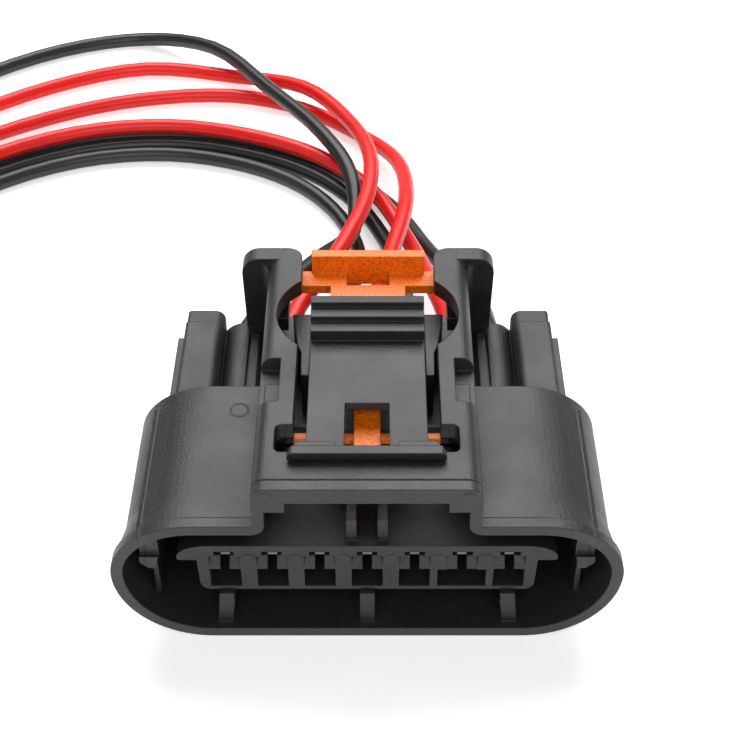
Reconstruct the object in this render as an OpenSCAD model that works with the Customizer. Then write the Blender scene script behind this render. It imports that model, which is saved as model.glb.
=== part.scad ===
// Seven-way sealed wire-to-wire connector with latch lever and lock slide.
// Frame: X across the ways, Y from the mating mouth to the wires, Z up.
// Every module below is drawn with y = 0 at the mouth of the shroud;
// seated() moves it so that the origin is the middle of the footprint.

/* [Ways] */
// Distance between neighbouring ways
pitch = 4.0; // [3.8:0.05:4.3]
// Height of the ways' centre line above the base
way_z = 8.0; // [7.8:0.05:8.3]
// Diameter over a wire's insulation
wire_d = 1.8; // [1.6:0.05:2.0]

/* [Mating shroud] */
// Height of the shroud at its shoulders
shroud_h = 14.2; // [13.8:0.1:15]
// Depth of the shroud, mouth to the back of its shoulders
shroud_l = 16.9; // [16:0.1:18]
// Wall of the shroud
shroud_wall = 1.0; // [0.8:0.05:1.2]
// Thickness of the shroud's closed back
back_t = 1.9; // [1.2:0.1:2.4]
// Radius of the shroud's lower corners
corner_r = 8.1; // [7:0.1:9]
// Half width of the shroud's upper corner curve
top_rx = 7.1; // [6:0.1:8]
// Clear width inside the shroud on each side of the front block's ears
end_space = 4.45; // [4.3:0.05:6]
// How far each end flares outward at the mouth
flare = 0.6; // [0:0.05:1]
// Depth of the raised band round the mouth
band_l = 1.05; // [0.6:0.05:1.4]
// Height of the raised band
band_h = 0.15; // [0.05:0.05:0.3]
// Width and depth of the fine groove behind the band
groove_w = 0.12; // [0.08:0.01:0.2]

/* [Bridge] */
// Height of the bridge's roof above the base
bridge_h = 18.6; // [18.2:0.1:19]
// Half width outside the bridge's side walls
bridge_hw = 9.3; // [9:0.05:9.8]
// Side walls of the bridge
bridge_wall = 1.0; // [0.8:0.05:1.4]
// Thickness of the roof
roof_t = 1.6; // [1.3:0.05:1.8]
// Radius along the roof's outer edges
roof_r = 1.3; // [0.5:0.1:1.5]
// Length of the bridge, mouth to the back of its horns
bridge_l = 31.2; // [30.8:0.1:33]
// Depth of the closed strip of roof at the mouth
strip_l = 4.0; // [3.5:0.1:4.1]
// Half width of the slot in the roof
slot_hw = 6.15; // [5.8:0.05:6.4]
// Radius of the finger scallops in the rails
scallop_r = 5.75; // [5:0.05:6.2]
// Depth to which a scallop cuts past the slot's edge
scallop_cut = 2.05; // [1:0.05:2.1]
// Distance of the scallops' centres from the mouth
scallop_y = 21.8; // [21:0.1:22.5]
// Reach of each horn from the middle
horn_hw = 11.9; // [11:0.05:12.5]
// Thickness of the horns
horn_t = 1.7; // [1.2:0.1:2.2]
// Radius of a horn's upper corner
horn_r = 1.7; // [0.8:0.1:2.2]

/* [Front block] */
// Distance of the front block's face behind the mouth
block_y = 1.2; // [1.1:0.05:1.6]
// Length of the front block
block_l = 7.6; // [7:0.1:7.8]
// Underside of the front block above the base
block_z = 4.9; // [4.7:0.05:5.1]
// Height of the front block
block_h = 5.55; // [5.4:0.05:5.8]
// Material outside the last way's centre
block_side = 2.24; // [2:0.02:2.6]
// How far the ears stand out on each side
ear_w = 1.76; // [1.2:0.02:1.8]
// Height of the ears
ear_h = 1.75; // [1.4:0.05:2]
// Width of a way's mouth
mouth_w = 2.62; // [2.3:0.02:2.7]
// Slot left between a way's two tabs
blade_w = 0.78; // [0.6:0.02:0.9]

/* [Rear body] */
// Length of the wire end behind the shroud
rear_l = 13.1; // [12.5:0.1:13.5]
// Radius outside a seal tube
tube_r = 2.3; // [2.2:0.05:2.4]
// Radius of the bore in a seal tube
bore_r = 1.6; // [1.5:0.05:1.7]
// Half width over the side blocks
cheek_hw = 17.6; // [17.2:0.1:18.2]
// Height of the side blocks' top above the base
cheek_h = 11.8; // [11.4:0.1:12.4]

/* [Latch lever] */
// Half width of the lever's plate
lever_hw = 4.97; // [4.6:0.01:5.1]
// Thickness of the lever's plate
lever_t = 0.8; // [0.7:0.05:0.9]
// Top of the lever's plate above the roof
lever_rise = 0.4; // [0.35:0.05:0.5]
// Half width of the catch bar at the front
bar_hw = 6.45; // [6.2:0.05:6.8]
// Distance of the lever's pivot behind the mouth
pivot_y = 12.5; // [12:0.1:13]
// Diameter of the lever's pivot pins
pivot_d = 1.2; // [1:0.05:1.3]
// Height of each step of the thumb pad
step_h = 0.55; // [0.4:0.05:0.6]
// Depth of each step of the thumb pad
step_l = 1.3; // [1.1:0.05:1.4]

/* [Lock slide] */
// Thickness of the lock slide's tongue
slide_t = 1.3; // [1.1:0.05:1.4]
// Thickness of the lock slide's arms
arm_t = 0.9; // [0.8:0.05:1.1]
// Half width of the grip at the rear
grip_hw = 5.3; // [4.8:0.05:5.8]
// Half width of the tongue under the lever
tongue_hw = 3.5; // [3.2:0.05:3.5]
// Half width of the spring finger
finger_hw = 1.12; // [0.9:0.02:1.2]

/* [Fits] */
// Gap between parts that slide on each other
slide_gap = 0.15; // [0.1:0.01:0.2]
// Gap round parts that stay seated
seat_gap = 0.05; // [0.03:0.01:0.1]
// Radial gap round the pivot pins
pin_gap = 0.05; // [0.03:0.01:0.08]

/* [Hidden] */
$fn = 48;

ways = 7;
oval_n = 20;                                     // steps in each corner of the shroud
eps = 0.01;                                      // overlap of joined solids
first_x = -(ways - 1) / 2 * pitch;
function way_x(i) = first_x + (i - 1) * pitch;

// Front block and shroud, from the ways outward
block_hw = -first_x + block_side;
ear_hw = block_hw + ear_w;
mouth_hw = ear_hw + end_space + shroud_wall;
block_top = block_z + block_h;
block_back = block_y + block_l;
back_y = shroud_l - back_t;
body_hw = mouth_hw - band_h - flare;             // half width behind the flared mouth
body_h = shroud_h - band_h;
flare_y = band_l + 3.0;                          // end of the flare

// Way openings in the front block
mouth_z = block_z + 0.4;                         // floor of a way
tab_z = way_z - 0.45;                            // underside of the tabs
tab_h = 1.05;
gate_z = way_z + 1.2;                            // top of the wide opening
slot_z = gate_z + 0.55;                          // top of the narrow slot
slot_w = 1.7;

// Tower behind the front block
tower_hw = -first_x + 1.6;
tower_z = way_z - 2.7;
tower_top = way_z + 2.0;
tower_y = block_back + 0.2;
tower_r = 1.5;
seal_l = 3.0;
seal_y = back_y - seal_l - 0.6;
seal_t = 1.1;

// Bridge
roof_z = bridge_h - roof_t;                      // underside of the roof
hall_hw = bridge_hw - bridge_wall;               // clear half width under the roof
hall_z = way_z + 2.1;                            // floor of the hall behind the shroud
ledge_z = roof_z - 2.0;                          // rails that carry the lock slide

// Rear body
rear_y = shroud_l + rear_l;
cheek_in = -first_x + 1.9;
cheek_z = way_z - 4.0;

// Lever
lever_top = bridge_h + lever_rise;
lever_under = lever_top - lever_t;
bar_y = strip_l - 0.95;
bar_z = bridge_h + 0.25;                         // underside of the catch bar
bar_h = 0.75;
bar_l = 0.9;
window_y = strip_l + slide_gap;
window_l = 5.35;
window_hw = 1.85;
pad_y = pivot_y + 4.9;
pivot_z = roof_z - 4.2;
pivot_r = pivot_d / 2;
leg_hw = tongue_hw + 0.2;                        // inner face of a leg
leg_t = 1.0;

// Lock slide
slide_z = ledge_z + 0.2;
slide_top = slide_z + slide_t;
slide_back = bridge_l - 0.2;
arm_y = slide_back - 2.9;
cross_y = strip_l + 3.75;
cross_l = 0.7;
cross_t = 0.6;
finger_y = strip_l + 1.0;
tongue_y = pivot_y + 1.0;

// Terminal, wire and seal stations along Y
term_y = block_y + 2.1;
lance_y = block_y + 0.7;
crimp_y = 13.0;
neck_y = crimp_y - 2.5;
term_hw = 0.95;
term_top = way_z + 1.1;
term_z = way_z - 1.0;
term_wall = 0.25;
wire_y = 20.6;
plug_l = 6.4;
plug_y = rear_y - plug_l - 0.9;
wire_r = wire_d / 2;

// Routes of the seven wires from the crimp to the cut end: y from the mouth,
// laid on the surface that the connector stands on
routes = [
    [[-12, 20.6, 8], [-12, 32, 8], [-6, 45, 6], [-1.8, 54.5, 3.4], [-2.2, 63, 5], [-5.6, 71, 5.4],
     [-13, 83, 4.6], [-21, 95, 3.4], [-31, 101.5, 1], [-42, 98.5, 1], [-54, 89.5, 1], [-63, 76, 1]],
    [[-8, 20.6, 8], [-8, 32, 8], [-3, 46.5, 7], [-0.2, 57, 6.4], [0, 66, 6], [-3, 76, 4.6],
     [-8.5, 85, 3.4], [-18, 91.6, 1], [-30, 93.6, 1], [-42, 89, 1], [-54, 79.5, 1], [-63, 67, 1]],
    [[-4, 20.6, 8], [-4, 32, 8], [-2, 43, 4], [-1.2, 53, 1], [-3.4, 60, 1], [-8, 66.2, 1],
     [-15, 70.7, 1], [-25, 73.2, 1], [-36, 71.7, 1], [-47, 65.2, 1], [-54.8, 54, 1], [-58.3, 38, 1]],
    [[0, 20.6, 8], [0, 32, 8], [2.4, 46, 6.6], [4.2, 57, 5.6], [3.4, 68, 3.4], [-1, 77, 1.2],
     [-8.6, 83.6, 1], [-18, 86.8, 1], [-30, 85.8, 1], [-41, 81.5, 1], [-53, 73, 1], [-62, 61, 1]],
    [[4, 20.6, 8], [4, 32, 8], [3.6, 44, 4], [2.4, 54, 1], [-1.5, 62.8, 1], [-7, 68.9, 1],
     [-15, 73.2, 1], [-25, 75.4, 1], [-36, 73.8, 1], [-48, 66.9, 1], [-56.8, 55.1, 1], [-60.5, 38.4, 1]],
    [[8, 20.6, 8], [8, 32, 8], [6.6, 43, 5], [4.4, 53, 3], [0.4, 62.4, 3], [-6.3, 69.9, 3],
     [-15, 74.4, 3], [-25, 76.5, 3], [-36.3, 74.9, 3], [-48.5, 67.8, 3], [-57.5, 55.6, 3], [-61.5, 38.8, 3]],
    [[12, 20.6, 8], [12, 32, 8], [10.4, 43, 5], [7, 53, 1.2], [2.4, 62.4, 1], [-5.8, 71, 1],
     [-15, 75.6, 1], [-25, 77.6, 1], [-36.6, 76, 1], [-49, 68.7, 1], [-58.5, 56.2, 1], [-62.6, 39, 1]]
];

// ---- helpers ----

module seated() { translate([0, -bridge_l / 2, 0]) children(); }

// Box from two opposite corners
module block(lo, hi) { translate(lo) cube(hi - lo); }

// Round bar along Y
module rod_y(x, y, z, r, l) { translate([x, y, z]) rotate([-90, 0, 0]) cylinder(r = r, h = l); }

// Extrudes a profile drawn in X and Z along Y from y0 to y1
module along_y(y0, y1) {
    translate([0, y1, 0]) rotate([90, 0, 0]) linear_extrude(y1 - y0) children();
}

module both_sides() {
    children();
    mirror([1, 0, 0]) children();
}

module each_way() { for (i = [1:ways]) translate([way_x(i), 0, 0]) children(); }

// Points along an elliptic arc; a later start leaves out points shared with the arc before
function arc(cx, cz, rx, rz, a0, a1, n, start = 0) =
    [for (k = [start:n]) let (a = a0 + (a1 - a0) * k / n) [cx + rx * cos(a), cz + rz * sin(a)]];

// Rounded rectangle in X and Z, with its own radius below and above
function panel(hw, z0, z1, r0, r1) = concat(
    arc(hw - r0, z0 + r0, r0, r0, -90, 0, 6), arc(hw - r1, z1 - r1, r1, r1, 0, 90, 6),
    arc(r1 - hw, z1 - r1, r1, r1, 90, 180, 6), arc(r0 - hw, z0 + r0, r0, r0, 180, 270, 6));

// Oval section of the shroud for a half width, a height and an inset
function oval(hw, h, inset) = let (cx = hw - corner_r, tx = hw - top_rx, rz = h - corner_r) concat(
    arc(cx, corner_r, corner_r - inset, corner_r - inset, -90, 0, oval_n),
    arc(tx, corner_r, top_rx - inset, rz - inset, 0, 90, oval_n, 1),
    arc(-tx, corner_r, top_rx - inset, rz - inset, 90, 180, oval_n),
    arc(-cx, corner_r, corner_r - inset, corner_r - inset, 180, 270, oval_n, 1));

// Tapered length between two oval sections
module oval_taper(y0, y1, hw0, hw1, h, inset) {
    hull() {
        along_y(y0, y0 + eps) polygon(oval(hw0, h, inset));
        along_y(y1 - eps, y1) polygon(oval(hw1, h, inset));
    }
}

// Band round the mouth, then a taper to the straight body
module shroud_skin() {
    along_y(0, band_l) polygon(oval(mouth_hw, shroud_h, 0));
    oval_taper(band_l / 2, flare_y, mouth_hw - band_h, body_hw, body_h, 0);
    along_y(flare_y - 0.5, shroud_l) polygon(oval(body_hw, body_h, 0));
}

module shroud_hollow() {
    oval_taper(-1, flare_y, mouth_hw + band_h, body_hw + band_h, shroud_h, shroud_wall);
    along_y(flare_y - 0.5, back_y) polygon(oval(body_hw + band_h, shroud_h, shroud_wall));
}

// ---- housing ----

// Hall under the roof, flared into rounded corners where it meets the shoulders
module hall() {
    lip_r = 1.2;
    block([-hall_hw, -1, block_z + 2], [hall_hw, back_y, roof_z]);
    block([-hall_hw, -1, hall_z], [hall_hw, bridge_l + 1, roof_z]);
    both_sides() along_y(-1, back_y) difference() {
        translate([hall_hw - eps, shroud_h - shroud_wall - eps]) square(lip_r);
        translate([hall_hw + lip_r, shroud_h - shroud_wall + lip_r]) circle(r = lip_r);
    }
}

// Section of the bridge, drawn in by an inset
module bridge_profile(inset) {
    polygon(concat(
        [[inset - bridge_hw, shroud_h - 1], [bridge_hw - inset, shroud_h - 1]],
        arc(bridge_hw - roof_r, bridge_h - roof_r, roof_r - inset, roof_r - inset, 0, 90, 8),
        arc(roof_r - bridge_hw, bridge_h - roof_r, roof_r - inset, roof_r - inset, 90, 180, 8)));
}

// Fine groove behind the band, round the shroud and over the bridge
module band_groove() {
    along_y(band_l, band_l + groove_w) difference() {
        translate([-mouth_hw - 1, -1]) square([2 * mouth_hw + 2, bridge_h + 2]);
        polygon(oval(mouth_hw, shroud_h, band_h + groove_w));
        bridge_profile(groove_w);
    }
}

module bridge_skin() {
    along_y(0, bridge_l) bridge_profile(0);
    block([-bridge_hw, back_y, way_z], [bridge_hw, bridge_l - horn_t, shroud_h]);
    block([-bridge_hw, bridge_l - horn_t - eps, hall_z - 1.0], [bridge_hw, bridge_l, shroud_h]);
}

// Horn standing out of each rail at the wire end, with a fillet in front
module horn() {
    fillet_r = 0.8;
    y0 = bridge_l - horn_t;
    along_y(y0, bridge_l) polygon(concat(
        [[bridge_hw - 1, hall_z - 1.0], [horn_hw - 0.15, hall_z - 1.0]],
        arc(horn_hw - horn_r, bridge_h - horn_r, horn_r, horn_r, 0, 90, 8),
        [[bridge_hw - 1, bridge_h]]));
    translate([0, 0, hall_z - 0.6]) linear_extrude(roof_z - hall_z + 1.4) difference() {
        translate([bridge_hw - eps, y0 - fillet_r]) square(fillet_r + eps);
        translate([bridge_hw + fillet_r, y0 - fillet_r]) circle(r = fillet_r);
    }
}

// Everything cut down through the roof, drawn in plan
module roof_slot() {
    notch_r = 0.6;
    translate([-slot_hw, strip_l]) square([2 * slot_hw, bridge_l]);
    both_sides() {
        translate([0, strip_l + 0.2]) square([slot_hw + 1.45 - notch_r, 3.2]);
        translate([0, strip_l + 0.2 + notch_r]) square([slot_hw + 1.45, 3.2 - 2 * notch_r]);
        for (y = [strip_l + 0.2 + notch_r, strip_l + 3.4 - notch_r])
            translate([slot_hw + 1.45 - notch_r, y]) circle(r = notch_r);
        translate([slot_hw + scallop_cut - scallop_r, scallop_y]) circle(r = scallop_r);
        translate([slot_hw, bridge_l - 1.5]) difference() {
            translate([-eps, 0]) square([1.5 + eps, 1.5 + eps]);
            translate([1.5, 0]) circle(r = 1.5);
        }
    }
}

// Pocket in the outer half of each rail
module rail_pocket() {
    block([bridge_hw - 1.8, 10.2, bridge_h - 1.5], [bridge_hw + 1, 15.6, bridge_h + 1]);
}

// Ledges under the roof at the mouth
module mouth_ledge() {
    block([hall_hw - 1.7, 0, roof_z - 1.05], [hall_hw + 0.1, 3.5, roof_z + 0.1]);
}

// Rail on a side wall that carries the lock slide's arm
module slide_rail() {
    block([hall_hw - 0.9, arm_y - 3.5, ledge_z - 1.0], [hall_hw + 0.1, bridge_l, slide_top - arm_t - slide_gap]);
}

// Ejector pad on the front of the roof, near each corner
module ejector_pad() {
    rod_y(bridge_hw - 1.15, -0.05, bridge_h - 1.05, 0.65, 0.5);
}

// Ribs beside the lever that keep the lock slide straight
module guide_rib() {
    translate([0, 0, hall_z - 0.5]) linear_extrude(ledge_z - hall_z + 0.4)
        polygon([[lever_hw + 0.3, 17.4], [5.96, 17.4], [6.05, 20.5], [6.4, 21.4], [7.0, 25.8], [lever_hw + 0.3, 25.8]]);
}

// Ear hanging from the side of the roof, in which a pivot pin turns
module pivot_ear() {
    ear_r = pivot_r + 0.65;
    x0 = hall_hw - 1.1;
    x1 = hall_hw + 0.5;
    translate([x0, pivot_y, pivot_z]) rotate([0, 90, 0]) cylinder(r = ear_r, h = x1 - x0);
    block([x0, pivot_y - ear_r, pivot_z], [x1, pivot_y + ear_r, roof_z + 0.2]);
}

module pivot_bore() {
    translate([hall_hw - 1.2, pivot_y, pivot_z]) rotate([0, 90, 0])
        cylinder(r = pivot_r + pin_gap, h = 1.2 + bridge_wall * 0.7);
}

module tower() {
    along_y(tower_y, back_y + 0.5) polygon(panel(tower_hw, tower_z, tower_top, tower_r, tower_r));
}

// Rib from the shroud's floor up to the front block, lower behind it to clear the ring seal;
// its foot leans outward by lean
module floor_rib(x, lean) {
    rib_hw = 0.63;
    seal_floor = tower_z - seal_t - 0.3;
    z0 = shroud_wall - 0.3;
    y0 = 0.8;
    module rib(y1, z1) {
        along_y(y0, y1) polygon([[x - rib_hw + lean, z0], [x + rib_hw + lean, z0], [x + rib_hw, z1], [x - rib_hw, z1]]);
    }
    rib(block_back, block_z - slide_gap);
    rib(back_y + 0.5, seal_floor);
}

// Rib hanging in each end of the shroud, with a shoe that stands forward and a fin below it
module end_rib() {
    x0 = body_hw - 3.25;
    shoe_z = corner_r + 1.2;
    rib_w = 1.6;
    along_y(1.4, back_y + 0.5) polygon([
        [x0, shoe_z - 0.2], [x0 + rib_w, shoe_z - 0.2], [x0 + rib_w, corner_r + 4.3], [x0, corner_r + 5.0]]);
    along_y(1.0, back_y + 0.5) polygon([
        [x0, shoe_z], [x0 + 0.1, shoe_z - 0.2], [x0 + 0.25, corner_r - 0.2], [x0 + 0.95, corner_r - 0.2],
        [x0 + rib_w + 0.05, corner_r + 0.5], [x0 + rib_w + 0.05, shoe_z]]);
    block([x0 + 0.4, 2.2, shroud_wall + 2.3], [x0 + 0.85, back_y + 0.5, corner_r]);
}

// Wire end: seven tubes side by side, a block on each side
module rear_body() {
    y0 = back_y + 0.5;
    each_way() rod_y(0, y0, way_z, tube_r, rear_y - y0);
    block([-bridge_hw, y0, way_z], [bridge_hw, rear_y, hall_z]);
    block([first_x, y0, way_z - tube_r + 0.5], [-first_x, rear_y, way_z + 0.5]);
    both_sides() {
        along_y(y0, rear_y - 1.5) polygon(cheek(0));
        along_y(rear_y - 1.5 - eps, rear_y + 0.2) polygon(cheek(0.1));
        block([cheek_hw - 1, y0, cheek_z + 0.6], [cheek_hw + 0.55, rear_y - 3.3, cheek_h - 0.6]);
    }
}

// Outline of a side block in X and Z
function cheek(inset) = concat(
    [[cheek_in, cheek_z + inset], [cheek_hw - inset, cheek_z + inset]],
    arc(cheek_hw - 0.4 - inset, cheek_h - 0.4 - inset, 0.4, 0.4, 0, 90, 4),
    arc(cheek_in + 1.0, cheek_h - 1.0 - inset, 1.0, 1.0, 90, 180, 6));

module way_passage() {
    block([-1.1, tower_y - 1, way_z - 1.15], [1.1, shroud_l + 0.5, way_z + 1.25]);
    rod_y(0, shroud_l, way_z, bore_r, rear_l + 1);
}

module housing() {
    color([0.11, 0.11, 0.115]) seated() difference() {
        union() {
            difference() {
                union() {
                    shroud_skin();
                    bridge_skin();
                    both_sides() horn();
                }
                shroud_hollow();
                hall();
                band_groove();
                translate([0, 0, roof_z - 0.5]) linear_extrude(roof_t + 1) roof_slot();
                both_sides() rail_pocket();
            }
            both_sides() {
                ejector_pad();
                mouth_ledge();
                slide_rail();
                guide_rib();
                pivot_ear();
                end_rib();
            }
            tower();
            for (k = [-1:1]) floor_rib(-k * first_x, 0.4 * k);
            rear_body();
        }
        both_sides() {
            pivot_bore();
            block([bridge_hw, shroud_l, way_z + bore_r + 0.2], [bridge_hw + 2.2, bridge_l - horn_t - 0.8, hall_z + 1]);
        }
        each_way() way_passage();
    }
}

// ---- front block ----

module block_profile() {
    polygon(concat(
        arc(block_hw - 0.9, block_z + 0.9, 0.9, 0.9, -90, 0, 6),
        [[block_hw + 0.1, block_top - ear_h]],
        arc(ear_hw - 0.3, block_top - ear_h + 0.3, 0.3, 0.3, -90, 0, 3),
        arc(ear_hw - 2.6, block_top - 1.4, 2.6, 1.4, 0, 90, 8),
        arc(2.6 - ear_hw, block_top - 1.4, 2.6, 1.4, 90, 180, 8),
        arc(0.3 - ear_hw, block_top - ear_h + 0.3, 0.3, 0.3, 180, 270, 3),
        [[-block_hw - 0.1, block_top - ear_h]],
        arc(0.9 - block_hw, block_z + 0.9, 0.9, 0.9, 180, 270, 6)));
}

// Opening of one way: wide below, two tabs in the middle, a narrow slot above
module way_mouth() {
    y1 = block_back + 1;
    block([-mouth_w / 2, block_y - 1, mouth_z], [mouth_w / 2, y1, tab_z]);
    block([-blade_w / 2, block_y - 1, tab_z - eps], [blade_w / 2, y1, tab_z + tab_h + eps]);
    block([-mouth_w / 2, block_y + 1.0, tab_z - eps], [mouth_w / 2, y1, tab_z + tab_h + eps]);
    block([-mouth_w / 2, block_y - 1, tab_z + tab_h], [mouth_w / 2, y1, gate_z]);
    block([-slot_w / 2, block_y - 1, gate_z - eps], [slot_w / 2, y1, slot_z]);
    both_sides() translate([blade_w / 2 - eps, block_y, tab_z + tab_h])
        rotate([0, 90, 0]) linear_extrude(mouth_w / 2 - blade_w / 2)
            polygon([[-0.1, -0.1], [0.75, -0.1], [-0.1, 0.75]]);
}

module front_block() {
    wide_w = 4.1;
    color([0.12, 0.12, 0.125]) seated() {
        difference() {
            along_y(block_y, block_back) block_profile();
            each_way() way_mouth();
            block([way_x(6) - wide_w / 2, block_y - 1, mouth_z], [way_x(6) + wide_w / 2, block_y + 2, tab_z - 0.1]);
        }
        for (i = [1:ways - 1])
            rod_y(way_x(i) + pitch / 2, block_y - 0.06, tab_z + 1.25, 0.62, 1.0);
        both_sides() block([0.87, block_y + 0.65, block_top - eps], [1.73, block_y + 4.8, block_top + 2.5]);
    }
}

// ---- latch lever ----

module lever_plan() {
    difference() {
        translate([-lever_hw, window_y]) square([2 * lever_hw, pad_y + 3 * step_l - window_y]);
        translate([-window_hw, window_y]) square([2 * window_hw, window_l]);
    }
}

// Thumb pad: three steps rising to the rear
module thumb_pad() {
    top = lever_top + 1.1;
    translate([-lever_hw, 0, 0]) rotate([90, 0, 90]) linear_extrude(2 * lever_hw) polygon([
        [pad_y, lever_under], [pad_y, top], [pad_y + step_l, top],
        [pad_y + step_l, top + step_h], [pad_y + 2 * step_l, top + step_h],
        [pad_y + 2 * step_l, top + 2 * step_h], [pad_y + 3 * step_l - 0.3, top + 2 * step_h - 0.1],
        [pad_y + 3 * step_l, top + 2 * step_h - 0.4], [pad_y + 3 * step_l, lever_under]]);
}

// Catch bar across the front with round ends, joined to the plate above the strip of roof
module catch_bar() {
    end_r = 0.55;
    taper = 0.4;
    back = bar_y + bar_l;
    intersection() {
        along_y(bar_y, back) polygon(concat(
            [[-bar_hw, bar_z], [bar_hw, bar_z]],
            arc(bar_hw - end_r, bar_z + bar_h - end_r, end_r, end_r, 0, 90, 6),
            arc(end_r - bar_hw, bar_z + bar_h - end_r, end_r, end_r, 90, 180, 6)));
        translate([0, 0, bar_z - 1]) linear_extrude(bar_h + 2) polygon([
            [-bar_hw, bar_y - 1], [bar_hw, bar_y - 1], [bar_hw, bar_y + taper],
            [bar_hw - taper, back + eps], [taper - bar_hw, back + eps], [-bar_hw, bar_y + taper]]);
    }
    both_sides() translate([0, 0, bar_z]) linear_extrude(bar_h - 0.15) hull() {
        translate([window_hw + 0.75, bar_y + 0.6]) square([1, 0.95]);
        translate([window_hw + 1.1, bar_y + 1.1]) circle(r = 0.45, $fn = 24);
        translate([bar_hw - 1.0, bar_y + 1.1]) circle(r = 0.45, $fn = 24);
    }
    translate([0, 0, bridge_h + 0.1]) linear_extrude(lever_top - bridge_h - 0.1) difference() {
        translate([-lever_hw, bar_y + 0.2]) square([2 * lever_hw, window_y - bar_y + 0.4]);
        translate([-window_hw, window_y]) square([2 * window_hw, 1]);
    }
}

// Leg down to the pivot on each side, with its pin
module lever_leg() {
    translate([leg_hw, 0, 0]) rotate([90, 0, 90]) linear_extrude(leg_t) {
        translate([pivot_y, pivot_z]) circle(r = pivot_r + 0.45);
        polygon([[pivot_y - 1.05, pivot_z], [pivot_y + 1.05, pivot_z],
            [pivot_y + 1.6, lever_under + 0.2], [pivot_y - 1.6, lever_under + 0.2]]);
    }
    translate([leg_hw, pivot_y, pivot_z]) rotate([0, 90, 0])
        cylinder(r = pivot_r, h = hall_hw + 0.5 * bridge_wall - leg_hw);
}

module latch_lever() {
    color([0.1, 0.1, 0.105]) seated() {
        translate([0, 0, lever_under]) linear_extrude(lever_t) lever_plan();
        thumb_pad();
        catch_bar();
        both_sides() lever_leg();
    }
}

// ---- lock slide ----

module tongue_plan() {
    difference() {
        translate([-tongue_hw, tongue_y]) square([2 * tongue_hw, slide_back - 0.7 - tongue_y]);
        translate([-2, arm_y + 0.1]) square([4, 1.8]);
    }
    both_sides() translate([tongue_hw - 1.0, cross_y]) square([1.0, tongue_y - cross_y + 1]);
}

module lock_slide() {
    reach = hall_hw - slide_gap;
    color([1.0, 0.42, 0.05]) seated() {
        translate([0, 0, slide_z]) linear_extrude(slide_t) tongue_plan();
        both_sides() block([2, arm_y, slide_top - arm_t], [reach, slide_back - 0.7, slide_top]);
        block([-slot_hw, cross_y, slide_top - cross_t], [slot_hw, cross_y + cross_l, slide_top]);
        block([-grip_hw, slide_back - 1.0, slide_z], [grip_hw, slide_back, bridge_h - 0.1]);
        block([-finger_hw, finger_y, slide_z + 0.5], [finger_hw, tongue_y + 1, roof_z - slide_gap]);
    }
}

// ---- seals ----

module ring_seal() {
    color([0.16, 0.16, 0.17]) seated() difference() {
        union() {
            along_y(seal_y, seal_y + seal_l) polygon(panel(tower_hw + seal_t - 0.35,
                tower_z - seal_t + 0.35, tower_top + seal_t - 0.35, tower_r + 0.8, tower_r + 0.8));
            for (k = [0:2]) translate([0, k * 1.1, 0]) along_y(seal_y + 0.1, seal_y + 0.7)
                polygon(panel(tower_hw + seal_t, tower_z - seal_t, tower_top + seal_t, tower_r + 1, tower_r + 1));
        }
        along_y(seal_y - 1, seal_y + seal_l + 1) polygon(panel(tower_hw + seat_gap,
            tower_z - seat_gap, tower_top + seat_gap, tower_r, tower_r));
    }
}

// Ribbed plug round one wire, in its tube
module wire_seal(i) {
    r = bore_r - seat_gap;
    color([0.25, 0.25, 0.26]) seated() translate([way_x(i), plug_y, way_z]) rotate([-90, 0, 0])
        rotate_extrude() polygon(concat(
            [[wire_r + 0.02, 0], [r - 0.3, 0]],
            [for (k = [0:3]) each [[r, 0.6 + 1.5 * k], [r, 1.2 + 1.5 * k], [r - 0.25, 1.6 + 1.5 * k]]],
            [[r - 0.25, plug_l], [wire_r + 0.02, plug_l]]));
}

// ---- terminals ----

// Box for the blade, lance above it, neck and crimp round the conductor
module terminal(i) {
    color([0.78, 0.76, 0.72]) seated() translate([way_x(i), 0, 0]) {
        difference() {
            block([-term_hw, term_y, term_z], [term_hw, neck_y, term_top]);
            block([term_wall - term_hw, term_y - 1, term_z + term_wall],
                [term_hw - term_wall, neck_y - 4 * term_wall, term_top - term_wall]);
        }
        block([-0.34, lance_y, term_top - eps], [0.34, term_y + 2.7, term_top + 0.35]);
        block([-0.6, neck_y - eps, term_z + term_wall], [0.6, crimp_y + eps, way_z + 0.6]);
        rod_y(0, crimp_y, way_z, 1.0, wire_y - crimp_y);
    }
}

// ---- wires ----

function unit(v) = v / norm(v);
// Eight-sided ring square to the route at point k
function ring(p, k) = let (
        a = p[max(0, k - 1)], b = p[min(len(p) - 1, k + 1)],
        d = k == 1 ? [0, 1, 0] : unit(b - a),
        s = unit(cross(d, [0, 0, 1])), u = cross(s, d))
    [for (j = [0:7]) p[k] + wire_r * (cos(45 * j + 22.5) * s + sin(45 * j + 22.5) * u)];

module wire(i, tint) {
    p = routes[i - 1];
    n = len(p);
    color(tint) seated() polyhedron(
        points = [for (k = [0:n - 1]) each ring(p, k)],
        faces = concat(
            [[for (j = [0:7]) j]], [[for (j = [0:7]) 8 * n - 1 - j]],
            [for (k = [0:n - 2]) for (j = [0:7]) let (a = 8 * k + j, b = 8 * k + (j + 1) % 8)
                each [[a, a + 8, b + 8], [a, b + 8, b]]]));
}

red = [0.85, 0.06, 0.05];
black = [0.1, 0.1, 0.11];

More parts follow.
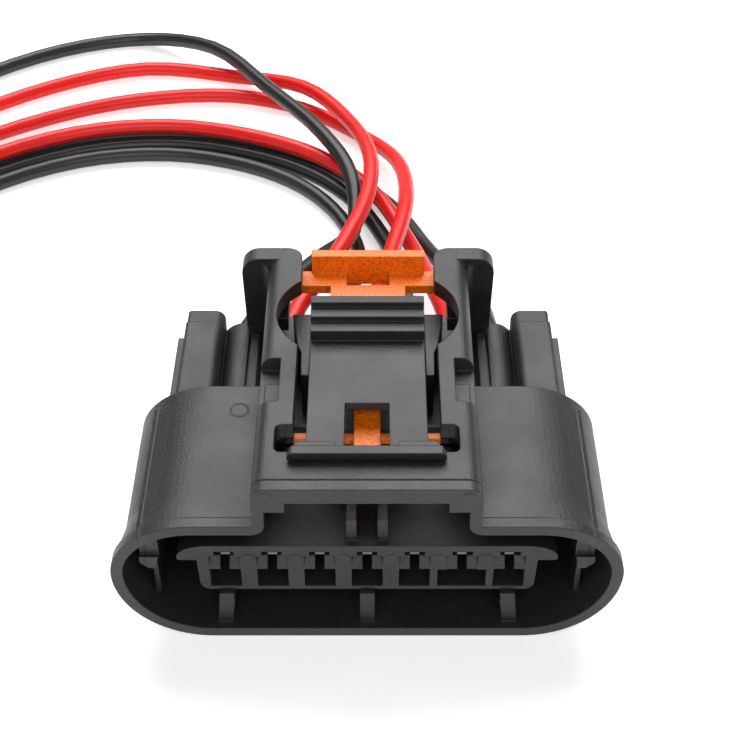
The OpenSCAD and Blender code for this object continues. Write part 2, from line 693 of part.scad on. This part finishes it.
housing();
front_block();
latch_lever();
lock_slide();
ring_seal();
wire_seal(1);  // wire_seal_1
wire_seal(2);  // wire_seal_2
wire_seal(3);  // wire_seal_3
wire_seal(4);  // wire_seal_4
wire_seal(5);  // wire_seal_5
wire_seal(6);  // wire_seal_6
wire_seal(7);  // wire_seal_7
terminal(1);  // terminal_1
terminal(2);  // terminal_2
terminal(3);  // terminal_3
terminal(4);  // terminal_4
terminal(5);  // terminal_5
terminal(6);  // terminal_6
terminal(7);  // terminal_7
wire(1, black);  // wire_1
wire(2, red);  // wire_2
wire(3, black);  // wire_3
wire(4, red);  // wire_4
wire(5, black);  // wire_5
wire(6, red);  // wire_6
wire(7, black);  // wire_7
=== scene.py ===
"""Looks of a seven-way sealed automotive connector with its pigtail.

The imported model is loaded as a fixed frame: its nodes keep their shapes and get their finishes here,
and the seven wires are laid as smooth cords along their routes.
Frame: X across the ways, Y from the mating mouth to the wires, Z up, in metres.
"""

import math

import bmesh
import bpy
from mathutils import Euler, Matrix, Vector


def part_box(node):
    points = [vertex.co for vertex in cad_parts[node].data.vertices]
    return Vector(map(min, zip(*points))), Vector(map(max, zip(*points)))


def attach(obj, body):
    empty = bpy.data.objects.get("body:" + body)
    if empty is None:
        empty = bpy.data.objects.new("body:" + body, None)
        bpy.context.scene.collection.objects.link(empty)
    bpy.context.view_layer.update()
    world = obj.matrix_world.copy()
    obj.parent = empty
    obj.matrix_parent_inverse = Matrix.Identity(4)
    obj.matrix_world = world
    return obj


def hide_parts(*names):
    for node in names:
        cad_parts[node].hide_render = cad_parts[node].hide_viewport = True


bl_info = {
    "name": "Sealed connector looks",
    "version": (1, 0, 0),
    "blender": (4, 5, 0),
    "location": "View3D > Sidebar > Connector",
    "description": "Finishes the packed sealed connector and lays its wires",
    "category": "Object",
}

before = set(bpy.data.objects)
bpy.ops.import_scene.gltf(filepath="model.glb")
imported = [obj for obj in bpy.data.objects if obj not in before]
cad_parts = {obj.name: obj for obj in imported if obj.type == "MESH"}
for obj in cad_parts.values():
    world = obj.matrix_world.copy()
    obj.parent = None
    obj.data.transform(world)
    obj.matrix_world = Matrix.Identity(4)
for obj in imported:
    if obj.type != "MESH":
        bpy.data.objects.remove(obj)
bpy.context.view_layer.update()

MM = 0.001
WAYS = range(1, 8)
RED_WAYS = (2, 4, 6)
ROOT = "connector"

# Front edge of the shroud's mouth
MOUTH_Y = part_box("housing")[0][1]

# Plain ring that a mould insert leaves on the left shoulder
RING_X = -11.24 * MM
RING_Y = MOUTH_Y + 13.84 * MM
RING_R = 0.8 * MM
RING_LINE = 0.14 * MM

# Width of the parting lines, and a height that only the shoulders and the roof reach
PARTING_LINE = 0.12 * MM
SHOULDER_Z = 12 * MM

# Lens and sensor width of the camera, in millimetres
LENS = 69.6
SENSOR = 36.0

# Soft boxes: place, width, height and power, all aimed at the part
SOFTBOXES = {
    "softbox_top": ((0.0, 0.34, 0.42), 0.6, 0.4, 3.6),
    "softbox_front": ((0.0, -0.42, 0.4), 0.5, 0.4, 1.5),
    "softbox_left": ((-0.45, -0.1, 0.25), 0.35, 0.3, 0.25),
    "softbox_right": ((0.45, -0.1, 0.25), 0.35, 0.3, 0.25),
}
AIM = (0.0, 0.0, 0.01)

# Strength of the surround on the part, and of the white that the floor shows to the eye alone
FILL = 0.1
FLOOR_WHITE = 0.5


def srgb(value):
    """A linear colour from an sRGB hex value."""
    def channel(shift):
        c = (value >> shift & 255) / 255
        return c / 12.92 if c <= 0.04045 else ((c + 0.055) / 1.055) ** 2.4
    return channel(16), channel(8), channel(0)


# ---- sizes and colours that a user would change ----

def length(label, text, default):
    """A length in metres for the sidebar, given in millimetres."""
    return bpy.props.FloatProperty(
        name=label, description=text, default=default * MM, min=0.0, precision=5,
        subtype="DISTANCE", unit="LENGTH")


def tint(label, text, value):
    """A colour for the sidebar."""
    return bpy.props.FloatVectorProperty(
        name=label, description=text, default=srgb(value), size=3, min=0.0, max=1.0, subtype="COLOR")


class ConnectorSizes(bpy.types.PropertyGroup):
    wire_d: length("Wire diameter", "Diameter over a wire's insulation", 1.8)
    # The same radius also sets the width of the painted highlight along the edges
    edge_r: length("Edge radius", "Radius that moulding leaves along every edge", 0.16)
    grain: length("Grain", "Size of the spark-eroded grain of the mould", 0.22)
    parting_x: length("Parting line", "Distance of the shoulder's parting line from the middle", 18.6)
    camera_back: length("Camera back", "Distance of the camera in front of the mouth", 78.0)
    camera_up: length("Camera up", "Height of the camera above the floor", 102.4)
    camera_side: length("Camera side", "Distance of the camera beside the middle", 0.66)
    camera_pitch: bpy.props.FloatProperty(
        name="Camera pitch", description="Angle of the camera's axis below the horizon",
        default=math.radians(42.5), subtype="ANGLE", unit="ROTATION")


class ConnectorColours(bpy.types.PropertyGroup):
    housing: tint("Housing", "Black glass-filled PBT", 0x242426)
    lever: tint("Lever", "Black PBT of the latch lever", 0x222224)
    block: tint("Front block", "Black PBT of the front block", 0x202022)
    lock: tint("Lock slide", "Orange PBT", 0xFF780A)
    seal: tint("Ring seal", "Black silicone", 0x2B2B2D)
    plug: tint("Wire seals", "Dark grey silicone", 0x46464A)
    tin: tint("Terminals", "Tin plating", 0xE2DED6)
    wire_red: tint("Red wire", "Red cross-linked insulation", 0xF0140F)
    wire_black: tint("Black wire", "Black cross-linked insulation", 0x232325)
    floor: tint("Floor", "Pale studio floor", 0xF4F4F4)


def sizes():
    return bpy.context.scene.connector_sizes


def colours():
    return bpy.context.scene.connector_colours


# ---- materials ----

def add(tree, kind, inputs=None, **settings):
    """Adds a node, sets its properties, and fills or links its inputs."""
    node = tree.nodes.new(kind)
    for name, value in settings.items():
        setattr(node, name, value)
    for name, value in (inputs or {}).items():
        if isinstance(value, bpy.types.NodeSocket):
            tree.links.new(value, node.inputs[name])
        else:
            node.inputs[name].default_value = value
    return node


def new_material(name):
    """An empty node material and its tree."""
    material = bpy.data.materials.new(name)
    material.use_nodes = True
    material.node_tree.nodes.clear()
    return material, material.node_tree


def shades(tree, colour, vector, size, spread):
    """A colour that wanders a little lighter and darker over patches of the given size."""
    patches = add(tree, "ShaderNodeTexNoise", {"Vector": vector, "Scale": 1 / size, "Detail": 3.0})
    ramp = add(tree, "ShaderNodeValToRGB", {"Fac": patches.outputs["Fac"]})
    for stop, place, factor in zip(ramp.color_ramp.elements, (0.3, 0.7), (1 - spread, 1 + spread)):
        stop.position = place
        stop.color = tuple(min(1.0, c * factor) for c in colour) + (1.0,)
    return ramp.outputs["Color"]


def groove(tree, distance, width):
    """Height that drops to -1 where distance is 0 and is flat beyond width."""
    size = add(tree, "ShaderNodeMath", {0: distance}, operation="ABSOLUTE")
    return add(tree, "ShaderNodeMapRange", {
        "Value": size.outputs[0], "From Min": 0.0, "From Max": width, "To Min": -1.0, "To Max": 0.0,
    }, interpolation_type="SMOOTHSTEP").outputs["Result"]


def moulded_plastic(name, colour, roughness, lines=None):
    """Injection-moulded PBT: a dull skin with the fine pits of a spark-eroded mould, soft patches where
    the melt flowed, and edges a little rounded, with a painted highlight along them: a paler colour
    painted on every edge, convex and concave alike, where the bevelled normal turns from the flat one."""
    material, tree = new_material(name)
    place = add(tree, "ShaderNodeTexCoord").outputs["Object"]
    grain = sizes().grain
    edges = add(tree, "ShaderNodeBevel", {"Radius": sizes().edge_r}, samples=8)
    flat = add(tree, "ShaderNodeNewGeometry").outputs["Normal"]
    turn = add(tree, "ShaderNodeVectorMath", {0: edges.outputs["Normal"], 1: flat}, operation="DOT_PRODUCT")
    # Painted highlight mask: 0 on flat faces, rising to 0.5 where the bevelled normal turns away from the flat one,
    # along every edge
    painted_edge_highlight = add(tree, "ShaderNodeMapRange", {
        "Value": turn.outputs["Value"], "From Min": 0.98, "From Max": 0.8, "To Min": 0.0, "To Max": 0.5})
    pits = add(tree, "ShaderNodeTexNoise", {
        "Vector": place, "Scale": 1 / grain, "Detail": 2.0, "Roughness": 0.6})
    flow = add(tree, "ShaderNodeTexNoise", {"Vector": place, "Scale": 1 / (20 * grain), "Detail": 2.0})
    dull = add(tree, "ShaderNodeMapRange", {
        "Value": flow.outputs["Fac"], "From Min": 0.3, "From Max": 0.7,
        "To Min": roughness - 0.04, "To Max": roughness + 0.05})
    skin = add(tree, "ShaderNodeBump", {
        "Height": pits.outputs["Fac"], "Normal": edges.outputs["Normal"], "Strength": 0.8, "Distance": grain / 4})
    normal = skin.outputs["Normal"]
    if lines:
        normal = add(tree, "ShaderNodeBump", {
            "Height": lines(tree, place), "Normal": normal, "Strength": 0.8, "Distance": 0.05 * MM}).outputs["Normal"]
    speck = add(tree, "ShaderNodeMapRange", {
        "Value": pits.outputs["Fac"], "From Min": 0.35, "From Max": 0.65, "To Min": 0.7, "To Max": 1.4})
    body = add(tree, "ShaderNodeVectorMath", {
        0: shades(tree, colour, place, 6 * grain, 0.05), "Scale": speck.outputs["Result"]}, operation="SCALE")
    # Painted highlight: the edges take a paler copy of the colour (1.9 times, plus 0.02)
    edge_highlighted_colour = add(tree, "ShaderNodeMix", {
        0: painted_edge_highlight.outputs["Result"], 6: body.outputs["Vector"],
        7: tuple(min(1.0, c * 1.9 + 0.02) for c in colour) + (1.0,)}, data_type="RGBA")
    shader = add(tree, "ShaderNodeBsdfPrincipled", {
        "Base Color": edge_highlighted_colour.outputs[2], "Roughness": dull.outputs["Result"],
        "IOR": 1.55, "Normal": normal})
    add(tree, "ShaderNodeOutputMaterial", {"Surface": shader.outputs["BSDF"]})
    return material


def mould_marks(tree, place):
    """The two fine lines where the side cores of the mould meet its top half, and the plain ring of an
    insert on the left shoulder."""
    axis = add(tree, "ShaderNodeSeparateXYZ", {"Vector": place}).outputs
    side = add(tree, "ShaderNodeMath", {0: axis["X"]}, operation="ABSOLUTE")
    offset = add(tree, "ShaderNodeMath", {0: side.outputs[0], 1: sizes().parting_x}, operation="SUBTRACT")
    lines = groove(tree, offset.outputs[0], PARTING_LINE)
    spoke = add(tree, "ShaderNodeVectorMath", {0: place, 1: (RING_X, RING_Y, 0.0)}, operation="SUBTRACT")
    spoke = add(tree, "ShaderNodeVectorMath", {
        0: spoke.outputs["Vector"], 1: (1, 1, 0)}, operation="MULTIPLY")
    reach = add(tree, "ShaderNodeVectorMath", {0: spoke.outputs["Vector"]}, operation="LENGTH")
    rim = add(tree, "ShaderNodeMath", {0: reach.outputs["Value"], 1: RING_R}, operation="SUBTRACT")
    ring = groove(tree, rim.outputs[0], RING_LINE)
    shoulder = add(tree, "ShaderNodeMath", {0: axis["Z"], 1: SHOULDER_Z}, operation="GREATER_THAN")
    ring = add(tree, "ShaderNodeMath", {0: ring, 1: shoulder.outputs[0]}, operation="MULTIPLY")
    return add(tree, "ShaderNodeMath", {0: lines, 1: ring.outputs[0]}, operation="MINIMUM").outputs[0]


def silicone(name, colour):
    """Moulded silicone rubber: soft sheen, even colour, a faint bloom."""
    material, tree = new_material(name)
    place = add(tree, "ShaderNodeTexCoord").outputs["Object"]
    bloom = add(tree, "ShaderNodeTexNoise", {"Vector": place, "Scale": 1 / (0.3 * MM), "Detail": 3.0})
    bump = add(tree, "ShaderNodeBump", {
        "Height": bloom.outputs["Fac"], "Strength": 0.2, "Distance": 0.02 * MM})
    shader = add(tree, "ShaderNodeBsdfPrincipled", {
        "Base Color": shades(tree, colour, place, 1.5 * MM, 0.08), "Roughness": 0.62, "IOR": 1.41,
        "Normal": bump.outputs["Normal"]})
    add(tree, "ShaderNodeOutputMaterial", {"Surface": shader.outputs["BSDF"]})
    return material


def tin_plate(name, colour):
    """Tin-plated copper alloy strip: a bright, slightly cloudy metal with rolling marks along the way."""
    material, tree = new_material(name)
    place = add(tree, "ShaderNodeTexCoord").outputs["Object"]
    along = add(tree, "ShaderNodeMapping", {
        "Vector": place, "Scale": (1 / (0.06 * MM), 1 / (2 * MM), 1 / (0.06 * MM))})
    marks = add(tree, "ShaderNodeTexNoise", {"Vector": along.outputs["Vector"], "Scale": 1.0, "Detail": 2.0})
    cloud = add(tree, "ShaderNodeMapRange", {
        "Value": marks.outputs["Fac"], "From Min": 0.3, "From Max": 0.7, "To Min": 0.24, "To Max": 0.42})
    bump = add(tree, "ShaderNodeBump", {
        "Height": marks.outputs["Fac"], "Strength": 0.15, "Distance": 0.01 * MM})
    shader = add(tree, "ShaderNodeBsdfPrincipled", {
        "Base Color": shades(tree, colour, place, 1 * MM, 0.06), "Metallic": 1.0,
        "Roughness": cloud.outputs["Result"], "Normal": bump.outputs["Normal"]})
    add(tree, "ShaderNodeOutputMaterial", {"Surface": shader.outputs["BSDF"]})
    return material


def wire_insulation(name, colour):
    """Extruded cross-linked polyethylene: satin, with a slight waviness from the die."""
    material, tree = new_material(name)
    place = add(tree, "ShaderNodeTexCoord").outputs["Object"]
    waves = add(tree, "ShaderNodeTexNoise", {"Vector": place, "Scale": 1 / (1.2 * MM), "Detail": 2.0})
    skin = add(tree, "ShaderNodeTexNoise", {"Vector": place, "Scale": 1 / (0.15 * MM), "Detail": 2.0})
    soft = add(tree, "ShaderNodeBump", {
        "Height": waves.outputs["Fac"], "Strength": 0.25, "Distance": 0.05 * MM})
    fine = add(tree, "ShaderNodeBump", {
        "Height": skin.outputs["Fac"], "Normal": soft.outputs["Normal"], "Strength": 0.1, "Distance": 0.01 * MM})
    shader = add(tree, "ShaderNodeBsdfPrincipled", {
        "Base Color": shades(tree, colour, place, 3 * MM, 0.05), "Roughness": 0.36, "IOR": 1.5,
        "Normal": fine.outputs["Normal"]})
    add(tree, "ShaderNodeOutputMaterial", {"Surface": shader.outputs["BSDF"]})
    return material


def finish(node, material):
    """Gives a node of the frame its material."""
    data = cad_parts[node].data
    data.materials.clear()
    data.materials.append(material)


# ---- wires ----

# Routes from the crimp to the cut end: x, y from the mouth, z, in millimetres
ROUTES = {
    1: [(-12, 20.6, 8), (-12, 32, 8), (-6, 45, 6), (-1.8, 54.5, 3.4), (-2.2, 63, 5), (-5.6, 71, 5.4),
        (-13, 83, 4.6), (-21, 95, 3.4), (-31, 101.5, 1), (-42, 98.5, 1), (-54, 89.5, 1), (-63, 76, 1)],
    2: [(-8, 20.6, 8), (-8, 32, 8), (-3, 46.5, 7), (-0.2, 57, 6.4), (0, 66, 6), (-3, 76, 4.6),
        (-8.5, 85, 3.4), (-18, 91.6, 1), (-30, 93.6, 1), (-42, 89, 1), (-54, 79.5, 1), (-63, 67, 1)],
    3: [(-4, 20.6, 8), (-4, 32, 8), (-2, 43, 4), (-1.2, 53, 1), (-3.4, 60, 1), (-8, 66.2, 1),
        (-15, 70.7, 1), (-25, 73.2, 1), (-36, 71.7, 1), (-47, 65.2, 1), (-54.8, 54, 1), (-58.3, 38, 1)],
    4: [(0, 20.6, 8), (0, 32, 8), (2.4, 46, 6.6), (4.2, 57, 5.6), (3.4, 68, 3.4), (-1, 77, 1.2),
        (-8.6, 83.6, 1), (-18, 86.8, 1), (-30, 85.8, 1), (-41, 81.5, 1), (-53, 73, 1), (-62, 61, 1)],
    5: [(4, 20.6, 8), (4, 32, 8), (3.6, 44, 4), (2.4, 54, 1), (-1.5, 62.8, 1), (-7, 68.9, 1),
        (-15, 73.2, 1), (-25, 75.4, 1), (-36, 73.8, 1), (-48, 66.9, 1), (-56.8, 55.1, 1), (-60.5, 38.4, 1)],
    6: [(8, 20.6, 8), (8, 32, 8), (6.6, 43, 5), (4.4, 53, 3), (0.4, 62.4, 3), (-6.3, 69.9, 3),
        (-15, 74.4, 3), (-25, 76.5, 3), (-36.3, 74.9, 3), (-48.5, 67.8, 3), (-57.5, 55.6, 3), (-61.5, 38.8, 3)],
    7: [(12, 20.6, 8), (12, 32, 8), (10.4, 43, 5), (7, 53, 1.2), (2.4, 62.4, 1), (-5.8, 71, 1),
        (-15, 75.6, 1), (-25, 77.6, 1), (-36.6, 76, 1), (-49, 68.7, 1), (-58.5, 56.2, 1), (-62.6, 39, 1)],
}


def route_points(way):
    """The route of a wire as points in the frame."""
    return [Vector((x * MM, MOUTH_Y + y * MM, z * MM)) for x, y, z in ROUTES[way]]


def smooth_route(points, steps=4):
    """A smooth curve through the points, as a denser list of points."""
    padded = [2 * points[0] - points[1], *points, 2 * points[-1] - points[-2]]
    curve = []
    for a, b, c, d in zip(padded, padded[1:], padded[2:], padded[3:]):
        near, mid, far = ((q - p).length ** 0.5 for p, q in ((a, b), (b, c), (c, d)))
        out = (b - a) / near - (c - a) / (near + mid) + (c - b) / mid
        home = (c - b) / mid - (d - b) / (mid + far) + (d - c) / far
        for k in range(steps):
            t = k / steps
            curve.append(
                (2 * t**3 - 3 * t**2 + 1) * b + (t**3 - 2 * t**2 + t) * mid * out
                + (3 * t**2 - 2 * t**3) * c + (t**3 - t**2) * mid * home)
    return [*curve, points[-1]]


def lay_wire(way, material):
    """One wire as a round curve along its route."""
    points = smooth_route(route_points(way))
    data = bpy.data.curves.new(f"insulated_wire_{way}", "CURVE")
    data.dimensions = "3D"
    data.bevel_depth = sizes().wire_d / 2
    data.bevel_resolution = 6
    data.use_fill_caps = True
    spline = data.splines.new("POLY")
    spline.points.add(len(points) - 1)
    for slot, point in zip(spline.points, points):
        slot.co = (*point, 1.0)
    spline.use_smooth = True
    data.materials.append(material)
    wire = bpy.data.objects.new(f"insulated_wire_{way}", data)
    bpy.context.collection.objects.link(wire)
    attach(wire, ROOT)
    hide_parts(f"wire_{way}")


# ---- operators ----

class CONNECTOR_OT_camera(bpy.types.Operator):
    """Places the camera in front of the mouth, looking down on the latch"""
    bl_idname = "connector.camera"
    bl_label = "Camera"

    def execute(self, context):
        size = sizes()
        data = bpy.data.cameras.new("camera")
        data.lens = LENS
        data.sensor_width = SENSOR
        data.clip_start = 0.005
        camera = bpy.data.objects.new("camera", data)
        camera.location = (size.camera_side, MOUTH_Y - size.camera_back, size.camera_up)
        camera.rotation_euler = Euler((math.pi / 2 - size.camera_pitch, 0.0, 0.0))
        context.collection.objects.link(camera)
        context.scene.camera = camera
        return {"FINISHED"}


class CONNECTOR_OT_wires(bpy.types.Operator):
    """Lays the seven wires from their crimps to their cut ends"""
    bl_idname = "connector.wires"
    bl_label = "Wires"

    def execute(self, context):
        red = wire_insulation("XLPE insulation, red", colours().wire_red)
        black = wire_insulation("XLPE insulation, black", colours().wire_black)
        for way in WAYS:
            lay_wire(way, red if way in RED_WAYS else black)
        return {"FINISHED"}


class CONNECTOR_OT_housing(bpy.types.Operator):
    """Finishes the moulded housing"""
    bl_idname = "connector.housing"
    bl_label = "Housing"

    def execute(self, context):
        finish("housing", moulded_plastic("PBT, black, grained, housing", colours().housing, 0.46, mould_marks))
        return {"FINISHED"}


class CONNECTOR_OT_front_block(bpy.types.Operator):
    """Finishes the front block in the mouth"""
    bl_idname = "connector.front_block"
    bl_label = "Front block"

    def execute(self, context):
        finish("front_block", moulded_plastic("PBT, black, grained, block", colours().block, 0.46))
        return {"FINISHED"}


class CONNECTOR_OT_latch_lever(bpy.types.Operator):
    """Finishes the latch lever"""
    bl_idname = "connector.latch_lever"
    bl_label = "Latch lever"

    def execute(self, context):
        finish("latch_lever", moulded_plastic("PBT, black, grained, lever", colours().lever, 0.44))
        return {"FINISHED"}


class CONNECTOR_OT_lock_slide(bpy.types.Operator):
    """Finishes the orange lock slide"""
    bl_idname = "connector.lock_slide"
    bl_label = "Lock slide"

    def execute(self, context):
        finish("lock_slide", moulded_plastic("PBT, orange", colours().lock, 0.42))
        return {"FINISHED"}


class CONNECTOR_OT_seals(bpy.types.Operator):
    """Finishes the ring seal and the seals round the wires"""
    bl_idname = "connector.seals"
    bl_label = "Seals"

    def execute(self, context):
        finish("ring_seal", silicone("Silicone, black", colours().seal))
        plug = silicone("Silicone, dark grey", colours().plug)
        for way in WAYS:
            finish(f"wire_seal_{way}", plug)
        return {"FINISHED"}


class CONNECTOR_OT_terminals(bpy.types.Operator):
    """Finishes the seven socket terminals"""
    bl_idname = "connector.terminals"
    bl_label = "Terminals"

    def execute(self, context):
        tin = tin_plate("Tin-plated copper alloy", colours().tin)
        for way in WAYS:
            finish(f"terminal_{way}", tin)
        return {"FINISHED"}


def area_light(name, place, aim, width, height, power):
    """A soft box that shines from place towards aim."""
    data = bpy.data.lights.new(name, "AREA")
    data.shape = "RECTANGLE"
    data.size = width
    data.size_y = height
    data.energy = power
    light = bpy.data.objects.new(name, data)
    light.location = place
    light.rotation_euler = (Vector(aim) - Vector(place)).to_track_quat("-Z", "Y").to_euler()
    bpy.context.collection.objects.link(light)


def white_to_the_eye(tree, lit, strength):
    """Adds plain white to what the camera and mirrors see of a surface, and not to what it lights."""
    path = add(tree, "ShaderNodeLightPath").outputs
    seen = add(tree, "ShaderNodeMath", {
        0: path["Is Camera Ray"], 1: path["Is Glossy Ray"]}, operation="MAXIMUM")
    seen = add(tree, "ShaderNodeMath", {
        0: seen.outputs[0], 1: path["Is Transmission Ray"]}, operation="MAXIMUM")
    gain = add(tree, "ShaderNodeMath", {0: seen.outputs[0], 1: strength}, operation="MULTIPLY")
    white = add(tree, "ShaderNodeEmission", {"Strength": gain.outputs[0]})
    return add(tree, "ShaderNodeAddShader", {0: lit, 1: white.outputs["Emission"]}).outputs["Shader"]


class CONNECTOR_OT_stage(bpy.types.Operator):
    """Builds the floor, the studio light and the white surround"""
    bl_idname = "connector.stage"
    bl_label = "Stage"

    def execute(self, context):
        mesh = bpy.data.meshes.new("floor")
        shape = bmesh.new()
        bmesh.ops.create_grid(shape, x_segments=1, y_segments=1, size=1.5)
        shape.to_mesh(mesh)
        shape.free()
        floor = bpy.data.objects.new("floor", mesh)
        context.collection.objects.link(floor)
        material, tree = new_material("Studio floor, matte white")
        matte = add(tree, "ShaderNodeBsdfDiffuse", {"Color": (*colours().floor, 1.0)})
        surface = white_to_the_eye(tree, matte.outputs["BSDF"], FLOOR_WHITE)
        add(tree, "ShaderNodeOutputMaterial", {"Surface": surface})
        mesh.materials.append(material)

        for name, (place, width, height, power) in SOFTBOXES.items():
            area_light(name, place, AIM, width, height, power)

        world = bpy.data.worlds.new("studio")
        world.use_nodes = True
        tree = world.node_tree
        tree.nodes.clear()
        path = add(tree, "ShaderNodeLightPath").outputs
        surround = add(tree, "ShaderNodeMapRange", {
            "Value": path["Is Camera Ray"], "To Min": FILL, "To Max": 1.0})
        glow = add(tree, "ShaderNodeBackground", {"Strength": surround.outputs["Result"]})
        add(tree, "ShaderNodeOutputWorld", {"Surface": glow.outputs["Background"]})
        context.scene.world = world
        context.scene.view_settings.view_transform = "Standard"
        return {"FINISHED"}


class CONNECTOR_PT_looks(bpy.types.Panel):
    bl_label = "Sealed connector"
    bl_idname = "CONNECTOR_PT_looks"
    bl_space_type = "VIEW_3D"
    bl_region_type = "UI"
    bl_category = "Connector"

    def draw(self, context):
        layout = self.layout
        for group in (sizes(), colours()):
            box = layout.box()
            for name in group.bl_rna.properties.keys():
                if name not in ("rna_type", "name"):
                    box.prop(group, name)
        for operator in OPERATORS:
            layout.operator(operator.bl_idname)


# The camera and the wires come first: the wires' spread depends on what the camera sees
OPERATORS = (
    CONNECTOR_OT_camera, CONNECTOR_OT_wires, CONNECTOR_OT_housing, CONNECTOR_OT_front_block,
    CONNECTOR_OT_latch_lever, CONNECTOR_OT_lock_slide, CONNECTOR_OT_seals, CONNECTOR_OT_terminals,
    CONNECTOR_OT_stage,
)
CLASSES = (ConnectorSizes, ConnectorColours, *OPERATORS, CONNECTOR_PT_looks)


def register():
    for cls in CLASSES:
        bpy.utils.register_class(cls)
    bpy.types.Scene.connector_sizes = bpy.props.PointerProperty(type=ConnectorSizes)
    bpy.types.Scene.connector_colours = bpy.props.PointerProperty(type=ConnectorColours)


def unregister():
    del bpy.types.Scene.connector_colours
    del bpy.types.Scene.connector_sizes
    for cls in reversed(CLASSES):
        bpy.utils.unregister_class(cls)


def main():
    register()
    for operator in OPERATORS:
        group, name = operator.bl_idname.split(".")
        getattr(getattr(bpy.ops, group), name)()


if __name__ == "__main__":
    main()
